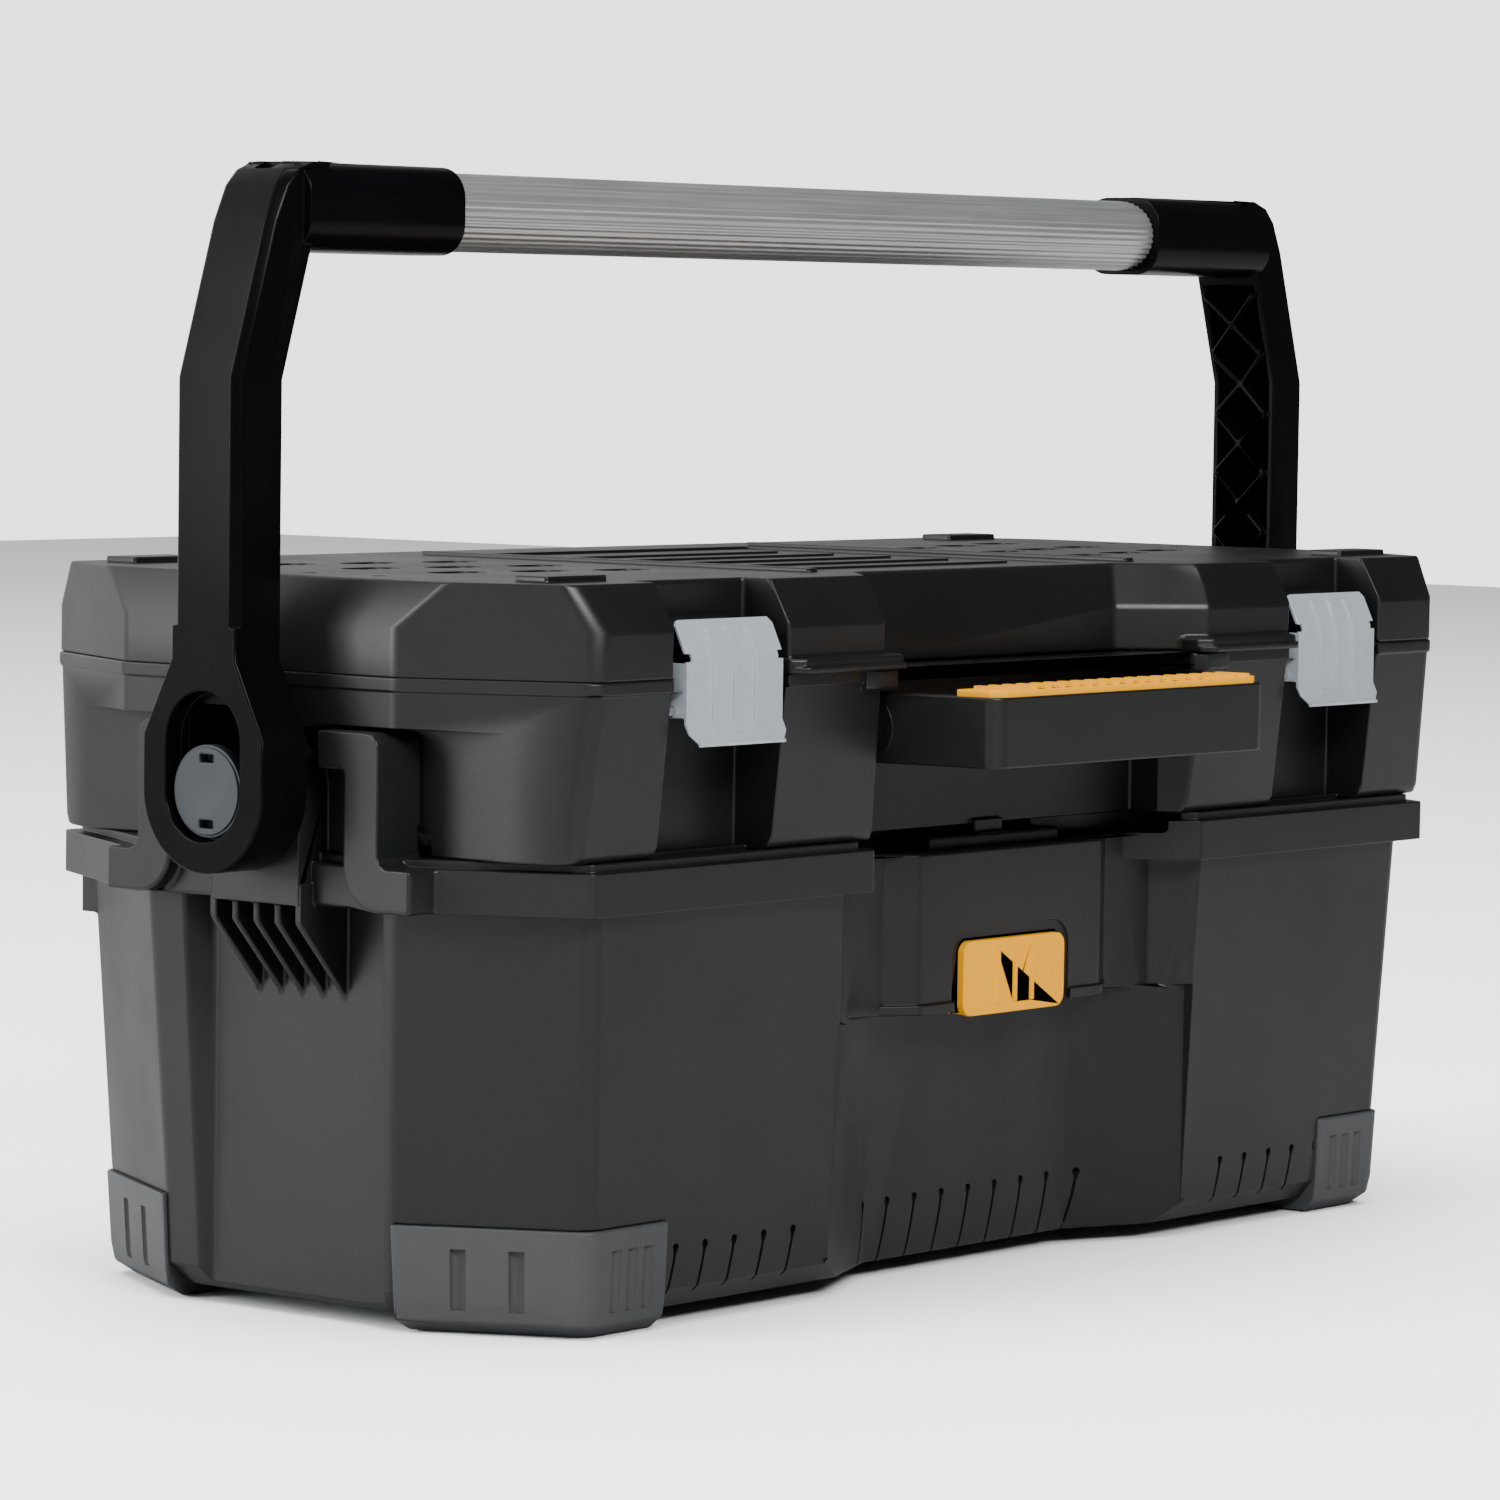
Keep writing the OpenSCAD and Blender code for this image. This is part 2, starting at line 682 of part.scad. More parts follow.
// Recesses in the front of the base: one for each latch, one behind the handle with walls that
// slope at 45 degrees, and a pocket in each of those walls for an arm of the handle
module base_recesses(g) {
    gx = 1.3 * g;
    both_ends() block([latch_x[0] - g, -180, case_z - 12], [latch_x[1] + g, g - latch_y, seam_z + 12]);
    translate([0, 0, case_z - 12]) linear_extrude(seam_z - case_z + 24) polygon([
        [-slot_c - 7 - gx, -150], [-slot_i - gx, -120], [-slot_i - g, g - slot_y],
        [slot_i + g, g - slot_y], [slot_i + gx, -120], [slot_c + 7 + gx, -150]]);
}

// Knuckle from x0 to x1 with its foot on the wall, between heights z0 and z1
module knuckle(x0, x1, z0, z1) {
    rod_x(hinge_r, x0, x1, hinge_y, hinge_z);
    block([x0, case_rear_y - 2, z0], [x1, hinge_y, z1]);
}

module each_hinge() {
    for (s = [-1, 1]) translate([s * knuckle_x, 0, 0]) children();
}

module case_base() color(black) placed() {
    difference() {
        union() {
            difference() {
                difference() {
                    union() {
                        base_block(0);
                        // thin flange at the parting line
                        translate([0, 0, seam_z - 5]) linear_extrude(5 - eps)
                            polygon(base_oct(case_hx, case_hy, 0.6));
                    }
                    base_recesses(0);
                }
                difference() {
                    base_block(-wall);
                    base_recesses(wall);
                }
            }
            both_ends() translate([0, 0, seam_z - 7.5]) linear_extrude(7.5 - eps) tab_plan(slot_c + 12,
                141);
            // skirt that drops into the mouth of the tub
            translate([0, 0, case_z - skirt_h]) difference() {
                linear_extrude(skirt_h + 1) polygon(skirt_plan(0));
                translate([0, 0, -1]) linear_extrude(skirt_h + 3) polygon(skirt_plan(-3));
                block([-house_hx - 4, -120, -1], [house_hx + 4, -80, skirt_h]);
            }
            // catch that the button's nose faces
            block([-9, catch_y[0] - 4.4, case_z - 8], [9, catch_y[0] - 2.4, case_z + 2]);
            block([-9, catch_y[0] - 4.4, case_z], [9, -100, case_z + 2]);
        }
        each_hinge() {
            rod_x(hinge_r + 0.6, -12, 12, hinge_y, hinge_z);
        }
        both_ends() rod_x(lp_r + 0.01, latch_x[0] - 5, latch_x[1] + 5, lp_y, lp_z);
        both_ends() rod_x(gp_r + 0.01, grip_hx - 2, grip_hx + 11, gp_y, gp_z);
    }
    each_hinge() {
        for (s = [0, 1]) mirror([s, 0, 0]) difference() {
            knuckle(12.5, 30, seam_z - hinge_r, seam_z - eps);
            rod_x(hpin_r + eps, -31, 31, hinge_y, hinge_z);
        }
    }
}

function skirt_plan(o) = both_sides([[50, -recess_y + 6 - o], [96, -recess_y - o], [124, -118 - o],
    [250, -118 - o],
    [278 + o, -66], [278 + o, 66], [250, 118 + o], [124, 118 + o], [96, recess_y + o],
        [50, recess_y - 6 + o]]);

// Tab that stands out at the parting line from the centre recess to x
module tab_plan(x, y) {
    polygon([[slot_c - 10, -128], [x, -128], [x, -case_hy - 2], [x - 5, -y], [slot_c - 5, -y],
        [slot_c - 10, 5 - y]]);
}

// The lid's block, grown by o, its upper band sloping in
module lid_block(o) {
    low = base_oct(case_hx, case_hy + 0.7, o);
    high = base_oct(case_hx - 8, case_hy - lid_setback + 0.5, o);
    loft([[seam_z + (o < 0 ? -1 : eps), low], [lid_mid_z + o / 3, low], [lid_z - 1 + o, high],
        [lid_z + o, base_oct(case_hx - 9, case_hy - lid_setback - 0.5, o)]]);
}

// Plan of the recess in the front of the lid, grown by o
function lid_recess_plan(o) = [[-lid_recess_c - 1.4 * o, -148], [lid_recess_c + 1.4 * o, -148],
    [lid_recess_i + o, o - plate_y], [-lid_recess_i - o, o - plate_y]];

// Recesses in the front of the lid, grown by g; the middle one slopes in like the lid's upper band
module lid_recesses(g) {
    both_ends() block([latch_x[0] - g, -180, seam_z - 9], [latch_x[1] + g, g - latch_y - 3, lid_z + 9]);
    loft([[seam_z - 9, lid_recess_plan(g)], [lid_mid_z + g / 3, lid_recess_plan(g)],
        [lid_z + 9, lid_recess_plan(g + 12)]]);
}

// Shallow oval dimples with three raised dots each, in two groups on the lid
module dimples(depth) {
    for (s = [-1, 1]) for (i = [0:2]) for (j = [-1:1]) {
        translate([s * (150 + i * 38), j * 44 + i * 8, lid_z - depth]) dimple(depth);
    }
}

module dimple(depth) {
    difference() {
        union() {
            for (s = [-1, 1]) translate([s * 6, 0, 0]) cylinder(r = 7.5, h = depth + 1);
            translate([-6, -7.5, 0]) cube([12, 15, depth + 1]);
        }
        for (k = [-1:1]) translate([k * 6, 0, -0.1]) cylinder(r = 1.6, h = depth - 0.3);
    }
}

module case_lid() color(black) placed() {
    difference() {
        union() {
            difference() {
                lid_block(0);
                lid_recesses(0);
            }
            both_ends() translate([0, 0, seam_z + eps]) linear_extrude(2.5) tab_plan(latch_x[0] + 1, 145);
            both_ends() translate([0, 0, seam_z + eps]) linear_extrude(5.5) tab_plan(latch_x[0] + 1, 143.5);
            // raised corner tabs and a raised border round the middle of the lid
            for (s = [-1, 1]) for (t = [-1, 1]) {
                block([min(s * 238, s * 272), min(t * 96, t * 112), lid_z - 1], [max(s * 238, s * 272),
                    max(t * 96, t * 112), lid_z + 2.4]);
            }
            both_ends() block([100, -100, lid_z - 1], [106, 100, lid_z + 1.6]);
            both_ends() keeper();
        }
        difference() {
            lid_block(-wall);
            lid_recesses(wall);
        }
        // sunk middle of the lid
        block([-96, -92, lid_z - lid_sink], [96, 96, lid_z + 1]);
        dimples(lid_sink);
        for (s = [-1, 1]) for (j = [-1:1]) translate([s * 276, j * 34, lid_z - 1]) cylinder(r = 3, h = 3);
        each_hinge() {
            for (s = [-1, 1]) rod_x(hinge_r + 0.6, s > 0 ? 12 : -31, s > 0 ? 31 : -12, hinge_y, hinge_z);
        }
    }
    // raised bars in the sunk middle
    for (j = [-2:2]) block([-70, j * 30 - 3, lid_z - lid_sink - 0.5], [70, j * 30 + 3, lid_z - 0.2]);
    each_hinge() difference() {
        knuckle(-11.9, 11.9, seam_z + eps, seam_z + hinge_r);
        rod_x(hpin_r + run, -13, 13, hinge_y, hinge_z);
    }
}

// Ridge on the lid that the top of a latch closes against
module keeper() {
    block([latch_x[0] + 9, lp_y + 0.6, seam_z + 11], [latch_x[1] - 10, -plate_y + 2, seam_z + 20]);
}

// ---- Latches and pins ----

module latch() {
    y = -139;
    // plate: lip, flat, leaning top, as one bent sheet
    outer = [[y - 4.6, 217.6], [y - 3.6, 217.2], [y, 224.6], [y, 248.6], [y + 6.6, 262.4]];
    inner = [[y + 7.9, 261.7], [y + plate_t, 248.2], [y + plate_t, 224.3], [y - 2.9, 216.4],
        [y - 4.4, 216.2]];
    difference() {
        union() {
            translate([plate_x[0], 0, 0]) rotate([90, 0, 90]) linear_extrude(plate_x[1] - plate_x[0])
                polygon(concat(outer, inner));
            // pressed ribs
            for (i = [-1:1]) translate([(plate_x[0] + plate_x[1]) / 2 + i * 12 - 1.6, 0, 0])
                rotate([90, 0, 90]) linear_extrude(3.2)
                polygon([[y - 2.2, 221], [y - 0.9, 223.6], [y - 0.9, 248.8], [y + 4.4, 259.6],
                    [y + 6, 259.6], [y + 1, 248], [y + 1, 224], [y - 1, 220.4]]);
            // side flanges that carry the pin
            for (x = [plate_x[0], plate_x[1] - plate_t]) block([x, y + 0.2, 226.4],
                [x + plate_t, lp_y + 4.5, 246.6]);
        }
        // notches beside the bend, and cut corners
        for (x = plate_x) translate([x, y, 248.6]) cube([6, 12, 3], center = true);
        for (s = [0, 1]) translate([plate_x[s], y - 4, 217]) rotate([0, 45, 0]) cube([5, 12, 5],
            center = true);
        for (s = [0, 1]) translate([plate_x[s], y + 7, 263]) rotate([0, 45, 0]) cube([4, 12, 4],
            center = true);
        rod_x(lp_r + run, plate_x[0] - 1, plate_x[1] + 1, lp_y, lp_z);
    }
}

module right_latch() color(steel) placed() latch();
module left_latch() color(steel) placed() mirror([1, 0, 0]) latch();
module right_latch_pin() color(steel) placed() rod_x(lp_r, latch_x[0] - 4, latch_x[1] + 4, lp_y, lp_z);
module left_latch_pin() color(steel) placed() mirror([1, 0, 0]) rod_x(lp_r, latch_x[0] - 4,
    latch_x[1] + 4, lp_y, lp_z);
module right_hinge_pin() color(steel) placed() rod_x(hpin_r, knuckle_x - 30, knuckle_x + 30, hinge_y,
    hinge_z);
module left_hinge_pin() color(steel) placed() mirror([1, 0, 0]) rod_x(hpin_r, knuckle_x - 30,
    knuckle_x + 30, hinge_y, hinge_z);
module right_grip_pin() color(steel) placed() rod_x(gp_r, grip_hx - grip_arm + 0.5, grip_hx + 10, gp_y,
    gp_z);
module left_grip_pin() color(steel) placed() mirror([1, 0, 0]) rod_x(gp_r, grip_hx - grip_arm + 0.5,
    grip_hx + 10, gp_y, gp_z);

// ---- Case handle ----

// Right half of the handle's plan: a front bar, and an arm that spreads towards its pivot
module grip_half_plan() {
    x = grip_front_hx;
    y = grip_y - grip_bar;
    arc = 8;
    polygon(concat([[0, -grip_y]],
        [for (a = [0:15:75]) [x - arc + arc * sin(a), -grip_y + arc - arc * cos(a)]],
        [[x + 2, 6 - y], [grip_hx, gp_y - 10], [grip_hx, gp_y], [grip_hx - grip_arm, gp_y],
        [grip_hx - grip_arm, gp_y - 8], [x - grip_arm, 8 - y], [x - grip_arm - 7, -y], [0, -y]]));
}

module case_handle() color(black) placed() {
    difference() {
        union() {
            both_ends() translate([0, 0, grip_z]) linear_extrude(grip_h) grip_half_plan();
            both_ends() rod_x(grip_h / 2, grip_hx - grip_arm, grip_hx, gp_y, gp_z);
        }
        both_ends() rod_x(gp_r + run, grip_hx - grip_arm - 1, grip_hx + 1, gp_y, gp_z);
        translate([0, 0, grip_z + grip_h - 1.5]) linear_extrude(3) pad_plan(0.02);
    }
}

module pad_plan(o) {
    x = grip_front_hx - 1;
    both_ends() polygon([[-0.01, -grip_y + 1.5 - o], [x - 8, -grip_y + 1.5 - o], [x - 2 + o, -grip_y + 5],
        [x + o, -grip_y + grip_bar - 2 + o], [-0.01, -grip_y + grip_bar - 2 + o]]);
}

module grip_pad() color(yellow) placed() {
    z0 = grip_z + grip_h - 1.5;
    translate([0, 0, z0]) linear_extrude(4) pad_plan(0);
    // cross ribs on the pad
    for (i = [-9:9]) block([i * 8.8 - 2, -grip_y + 3, z0 + 3.9], [i * 8.8 + 2, -grip_y + grip_bar - 4,
        z0 + 5.2]);
}

tub();
front_left_foot();
front_right_foot();
rear_left_foot();
rear_right_foot();
left_pivot_axle();
right_pivot_axle();
left_pivot_cap();
right_pivot_cap();
button_spring();
release_button();
tray();
case_base();
left_latch_pin();
right_latch_pin();
left_hinge_pin();
right_hinge_pin();
left_grip_pin();
right_grip_pin();
case_lid();
left_latch();
right_latch();
case_handle();
grip_pad();
left_pivot_bush();
right_pivot_bush();
left_slot_shoe();
right_slot_shoe();
left_arm();
right_arm();
handle_bar();
bar_screws();
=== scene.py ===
import json
import math

import bmesh
import bpy
import numpy as np
from mathutils import Matrix, Vector


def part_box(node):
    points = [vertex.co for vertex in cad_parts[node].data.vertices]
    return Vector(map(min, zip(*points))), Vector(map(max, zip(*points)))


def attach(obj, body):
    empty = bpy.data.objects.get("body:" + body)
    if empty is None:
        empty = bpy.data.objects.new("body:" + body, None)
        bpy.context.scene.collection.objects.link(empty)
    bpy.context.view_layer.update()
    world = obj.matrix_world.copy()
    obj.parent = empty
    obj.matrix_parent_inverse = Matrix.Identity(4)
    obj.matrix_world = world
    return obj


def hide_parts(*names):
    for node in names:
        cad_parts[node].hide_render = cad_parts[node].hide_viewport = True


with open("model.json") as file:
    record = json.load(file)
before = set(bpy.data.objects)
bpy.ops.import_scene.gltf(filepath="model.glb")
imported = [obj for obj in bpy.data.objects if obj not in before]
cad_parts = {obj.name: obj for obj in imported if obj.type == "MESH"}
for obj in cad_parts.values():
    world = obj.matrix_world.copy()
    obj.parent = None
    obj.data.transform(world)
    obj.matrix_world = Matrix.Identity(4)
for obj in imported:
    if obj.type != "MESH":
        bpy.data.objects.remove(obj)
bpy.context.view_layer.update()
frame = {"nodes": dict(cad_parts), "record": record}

mm = 0.001
nodes = frame["nodes"]
bodyOf = {n: b for b, names in frame["record"]["behaviour"]["bodies"].items() for n in names}
slotOf = {s["node"]: s["material_slot"] for s in frame["record"]["subparts"]}


# shader node groups

class Wiring:
    # small helper around a node tree: add a node, join sockets
    def __init__(self, tree):
        self.tree = tree

    def add(self, kind, **values):
        node = self.tree.nodes.new(kind)
        for key, value in values.items():
            if hasattr(node, key):
                setattr(node, key, value)
            else:
                node.inputs[key.replace("_", " ")].default_value = value
        return node

    def join(self, a, b):
        self.tree.links.new(a, b)


def newGroup(name, inputs, outputs):
    tree = bpy.data.node_groups.new(name, "ShaderNodeTree")
    for label, value in inputs:
        kind = "NodeSocketColor" if isinstance(value, tuple) else "NodeSocketFloat"
        socket = tree.interface.new_socket(label, in_out="INPUT", socket_type=kind)
        socket.default_value = value
    for label, kind in outputs:
        tree.interface.new_socket(label, in_out="OUTPUT", socket_type=kind)
    w = Wiring(tree)
    return w, w.add("NodeGroupInput"), w.add("NodeGroupOutput")


def mathNode(w, operation, a, b=None, clamp=False):
    node = w.add("ShaderNodeMath", operation=operation)
    node.use_clamp = clamp
    for i, value in enumerate((a, b)):
        if value is None:
            continue
        if isinstance(value, (int, float)):
            node.inputs[i].default_value = value
        else:
            w.join(value, node.inputs[i])
    return node.outputs[0]


def noiseAt(w, vector, scale, detail=2.0, rough=0.5, stretch=(1, 1, 1)):
    # noise on Object coordinates, stretched along the axes
    mapping = w.add("ShaderNodeMapping")
    mapping.inputs["Scale"].default_value = stretch
    w.join(vector, mapping.inputs["Vector"])
    noise = w.add("ShaderNodeTexNoise")
    noise.inputs["Detail"].default_value = detail
    noise.inputs["Roughness"].default_value = rough
    if isinstance(scale, (int, float)):
        noise.inputs["Scale"].default_value = scale
    else:
        w.join(scale, noise.inputs["Scale"])
    w.join(mapping.outputs[0], noise.inputs["Vector"])
    return noise.outputs["Fac"]


def rampOf(w, value, low, high, outLow=0.0, outHigh=1.0):
    node = w.add("ShaderNodeMapRange")
    node.inputs["From Min"].default_value = low
    node.inputs["From Max"].default_value = high
    node.inputs["To Min"].default_value = outLow
    node.inputs["To Max"].default_value = outHigh
    w.join(value, node.inputs["Value"])
    return node.outputs[0]


def makeGrainGroup():
    # spark-eroded moulding grain: fine bumps, with broader swells that break up the shine
    w, gin, gout = newGroup("mouldGrain", [("Scale", 900.0), ("Swell", 0.25)],
                            [("Height", "NodeSocketFloat"), ("Speckle", "NodeSocketFloat")])
    coords = w.add("ShaderNodeTexCoord").outputs["Object"]
    fine = noiseAt(w, coords, gin.outputs["Scale"], 2.0, 0.6)
    coarse = noiseAt(w, coords, mathNode(w, "MULTIPLY", gin.outputs["Scale"], 0.33), 1.0, 0.5)
    broad = mathNode(w, "MULTIPLY", noiseAt(w, coords, 14.0, 2.0), gin.outputs["Swell"])
    mixed = mathNode(w, "ADD", mathNode(w, "MULTIPLY", fine, 0.6), mathNode(w, "MULTIPLY", coarse, 0.4))
    w.join(mathNode(w, "ADD", mixed, broad), gout.inputs["Height"])
    w.join(rampOf(w, fine, 0.56, 0.72), gout.inputs["Speckle"])
    return w.tree


def makeScuffGroup():
    # long thin handling scratches and soft rubbed patches
    w, gin, gout = newGroup("handlingScuffs", [("Amount", 0.5)], [("Mask", "NodeSocketFloat")])
    coords = w.add("ShaderNodeTexCoord").outputs["Object"]
    along = rampOf(w, noiseAt(w, coords, 60.0, 3.0, 0.6, (0.25, 1, 3.2)), 0.60, 0.74)
    across = rampOf(w, noiseAt(w, coords, 75.0, 3.0, 0.6, (2.6, 0.4, 0.3)), 0.62, 0.75)
    patches = rampOf(w, noiseAt(w, coords, 9.0, 3.0, 0.55), 0.45, 0.7)
    both = mathNode(w, "MULTIPLY", mathNode(w, "MAXIMUM", along, across), patches)
    w.join(mathNode(w, "MULTIPLY", both, gin.outputs["Amount"], True), gout.inputs["Mask"])
    return w.tree


def makeEdgeGroup():
    # convex edges made paler: wear where hands and floors rub them, and a painted highlight where the edges
    # catch the light
    w, gin, gout = newGroup("wornEdges", [("Amount", 0.5)], [("Mask", "NodeSocketFloat")])
    coords = w.add("ShaderNodeTexCoord").outputs["Object"]
    point = w.add("ShaderNodeNewGeometry").outputs["Pointiness"]
    edge = rampOf(w, point, 0.515, 0.60)
    broken = rampOf(w, noiseAt(w, coords, 120.0, 4.0, 0.65), 0.35, 0.65)
    w.join(mathNode(w, "MULTIPLY", mathNode(w, "MULTIPLY", edge, broken), gin.outputs["Amount"], True),
           gout.inputs["Mask"])
    return w.tree


def makeDustGroup():
    # pale dust that settles on surfaces that face up, thinner near the edges of its patches
    w, gin, gout = newGroup("settledDust", [("Amount", 0.3)], [("Mask", "NodeSocketFloat")])
    coords = w.add("ShaderNodeTexCoord").outputs["Object"]
    normal = w.add("ShaderNodeNewGeometry").outputs["Normal"]
    split = w.add("ShaderNodeSeparateXYZ")
    w.join(normal, split.inputs[0])
    up = rampOf(w, split.outputs["Z"], 0.55, 1.0)
    cloud = rampOf(w, noiseAt(w, coords, 22.0, 5.0, 0.6), 0.35, 0.75)
    w.join(mathNode(w, "MULTIPLY", mathNode(w, "MULTIPLY", up, cloud), gin.outputs["Amount"], True),
           gout.inputs["Mask"])
    return w.tree


grainGroup = makeGrainGroup()
scuffGroup = makeScuffGroup()
edgeGroup = makeEdgeGroup()
dustGroup = makeDustGroup()
print("shader groups made")


def place(w, tree, **values):
    node = w.add("ShaderNodeGroup")
    node.node_tree = tree
    for key, value in values.items():
        node.inputs[key].default_value = value
    return node


def mixColours(w, mask, a, b):
    node = w.add("ShaderNodeMix", data_type="RGBA")
    if isinstance(mask, (int, float)):
        node.inputs[0].default_value = mask
    else:
        w.join(mask, node.inputs[0])
    for socket, value in ((node.inputs[6], a), (node.inputs[7], b)):
        if isinstance(value, tuple):
            socket.default_value = (*value, 1)
        else:
            w.join(value, socket)
    return node.outputs[2]


def newMaterial(name):
    material = bpy.data.materials.new(name)
    material.use_nodes = True
    w = Wiring(material.node_tree)
    shader = material.node_tree.nodes["Principled BSDF"]
    return material, w, shader


# colours are linear; grain is bumps per metre, depth is in millimetres
plastics = {
    "grainedBlack": dict(colour=(0.0050, 0.0050, 0.0053), tint=(0.011, 0.011, 0.0117), rough=0.38,
                         spread=0.10, grain=1100.0, depth=0.055, edge=0.35, scuff=0.35, dust=0.015,
                         specular=0.36),
    "smoothBlack": dict(colour=(0.0016, 0.0016, 0.0019), tint=(0.003, 0.003, 0.0034), rough=0.26, spread=0.08,
                        grain=1600.0, depth=0.008, edge=0.15, scuff=0.35, dust=0.0, specular=0.07),
    "footPlastic": dict(colour=(0.040, 0.041, 0.044), tint=(0.060, 0.061, 0.064), rough=0.52, spread=0.12,
                        grain=900.0, depth=0.03, edge=0.45, scuff=0.6, dust=0.10, specular=0.4),
    "slatePlastic": dict(colour=(0.012, 0.017, 0.023), tint=(0.018, 0.025, 0.032), rough=0.45, spread=0.1,
                         grain=1200.0, depth=0.02, edge=0.4, scuff=0.4, dust=0.05, specular=0.4),
    "trayPlastic": dict(colour=(0.055, 0.056, 0.060), tint=(0.09, 0.09, 0.095), rough=0.5, spread=0.12,
                        grain=900.0, depth=0.04, edge=0.4, scuff=0.6, dust=0.12, specular=0.4),
    "yellowPlastic": dict(colour=(1.0, 0.43, 0.0), tint=(0.97, 0.38, 0.0), rough=0.45, spread=0.1,
                          grain=1000.0, depth=0.02, edge=0.10, scuff=0.35, dust=0.0, specular=0.08),
}


def plasticMaterial(name):
    p = plastics[name]
    material, w, shader = newMaterial(name)
    coords = w.add("ShaderNodeTexCoord").outputs["Object"]
    grain = place(w, grainGroup, Scale=p["grain"])
    scuffs = place(w, scuffGroup, Amount=p["scuff"])
    edges = place(w, edgeGroup, Amount=p["edge"])
    dust = place(w, dustGroup, Amount=p["dust"])
    cloud = rampOf(w, noiseAt(w, coords, 6.0, 3.0), 0.3, 0.7)
    base = mixColours(w, mathNode(w, "MULTIPLY", cloud, 0.5), p["colour"], p["tint"])
    speckled = mixColours(w, mathNode(w, "MULTIPLY", grain.outputs["Speckle"], 0.35), base, p["tint"])
    # convex edges mixed towards a paler colour: partly wear, partly a painted highlight along the edges
    pale = tuple(min(1.0, c * 1.7 + 0.015) for c in p["colour"])
    edgeWornAndHighlit = mixColours(w, edges.outputs["Mask"], speckled, pale)
    dusty = mixColours(w, dust.outputs["Mask"], edgeWornAndHighlit, (0.30, 0.29, 0.27))
    w.join(dusty, shader.inputs["Base Color"])
    roughCloud = rampOf(w, noiseAt(w, coords, 18.0, 4.0, 0.6), 0.3, 0.7, p["rough"] - p["spread"] / 2,
                        p["rough"] + p["spread"] / 2)
    rough = mathNode(w, "ADD", roughCloud, mathNode(w, "MULTIPLY", scuffs.outputs["Mask"], -0.14))
    w.join(mathNode(w, "ADD", rough, mathNode(w, "MULTIPLY", dust.outputs["Mask"], 0.3), True),
           shader.inputs["Roughness"])
    bump = w.add("ShaderNodeBump")
    bump.inputs["Distance"].default_value = p["depth"] * mm
    bump.inputs["Strength"].default_value = 1.0
    height = mathNode(w, "ADD", grain.outputs["Height"],
                      mathNode(w, "MULTIPLY", scuffs.outputs["Mask"], -0.5))
    w.join(height, bump.inputs["Height"])
    w.join(bump.outputs[0], shader.inputs["Normal"])
    shader.inputs["Specular IOR Level"].default_value = p["specular"]
    return material


def latchMaterial():
    # stamped sheet steel under satin blue-grey paint, rubbed bright where the thumb pulls it
    material, w, shader = newMaterial("latchPaint")
    coords = w.add("ShaderNodeTexCoord").outputs["Object"]
    scuffs = place(w, scuffGroup, Amount=0.7)
    edges = place(w, edgeGroup, Amount=0.8)
    cloud = rampOf(w, noiseAt(w, coords, 30.0, 3.0), 0.3, 0.7)
    base = mixColours(w, cloud, (0.31, 0.35, 0.39), (0.35, 0.39, 0.43))
    w.join(mixColours(w, edges.outputs["Mask"], base, (0.72, 0.73, 0.74)), shader.inputs["Base Color"])
    w.join(mathNode(w, "MULTIPLY", edges.outputs["Mask"], 0.9, True), shader.inputs["Metallic"])
    w.join(mathNode(w, "SUBTRACT", rampOf(w, noiseAt(w, coords, 90.0, 3.0), 0.3, 0.7, 0.34, 0.46),
                    mathNode(w, "MULTIPLY", scuffs.outputs["Mask"], 0.12)), shader.inputs["Roughness"])
    bump = w.add("ShaderNodeBump")
    bump.inputs["Distance"].default_value = 0.02 * mm
    w.join(noiseAt(w, coords, 700.0, 2.0), bump.inputs["Height"])
    w.join(bump.outputs[0], shader.inputs["Normal"])
    shader.inputs["Coat Weight"].default_value = 0.15
    return material


def steelMaterial():
    # drawn bright steel: fine rings of drawing marks and a few dull spots
    material, w, shader = newMaterial("brightSteel")
    coords = w.add("ShaderNodeTexCoord").outputs["Object"]
    spots = rampOf(w, noiseAt(w, coords, 160.0, 4.0, 0.6), 0.52, 0.7)
    w.join(mixColours(w, spots, (0.55, 0.55, 0.56), (0.38, 0.37, 0.36)), shader.inputs["Base Color"])
    shader.inputs["Metallic"].default_value = 1.0
    w.join(rampOf(w, noiseAt(w, coords, 400.0, 2.0, 0.5, (4, 0.5, 0.5)), 0.3, 0.7, 0.24, 0.42),
           shader.inputs["Roughness"])
    bump = w.add("ShaderNodeBump")
    bump.inputs["Distance"].default_value = 0.01 * mm
    w.join(noiseAt(w, coords, 900.0, 2.0, 0.5, (5, 0.4, 0.4)), bump.inputs["Height"])
    w.join(bump.outputs[0], shader.inputs["Normal"])
    return material


def aluminiumMaterial():
    # satin anodised extrusion: die lines run along the bar, with faint cloudy anodising
    material, w, shader = newMaterial("satinAluminium")
    coords = w.add("ShaderNodeTexCoord").outputs["Object"]
    lines = noiseAt(w, coords, 900.0, 3.0, 0.6, (0.012, 1, 1))
    cloud = rampOf(w, noiseAt(w, coords, 12.0, 3.0), 0.3, 0.7)
    base = mixColours(w, cloud, (0.56, 0.56, 0.565), (0.62, 0.62, 0.625))
    w.join(mixColours(w, mathNode(w, "MULTIPLY", rampOf(w, lines, 0.35, 0.65), 0.35), base,
                      (0.36, 0.36, 0.365)), shader.inputs["Base Color"])
    w.join(rampOf(w, noiseAt(w, coords, 500.0, 3.0, 0.6, (0.02, 1, 1)), 0.3, 0.7, 0.36, 0.50),
           shader.inputs["Roughness"])
    shader.inputs["Metallic"].default_value = 0.82
    bump = w.add("ShaderNodeBump")
    bump.inputs["Distance"].default_value = 0.015 * mm
    w.join(lines, bump.inputs["Height"])
    w.join(bump.outputs[0], shader.inputs["Normal"])
    return material


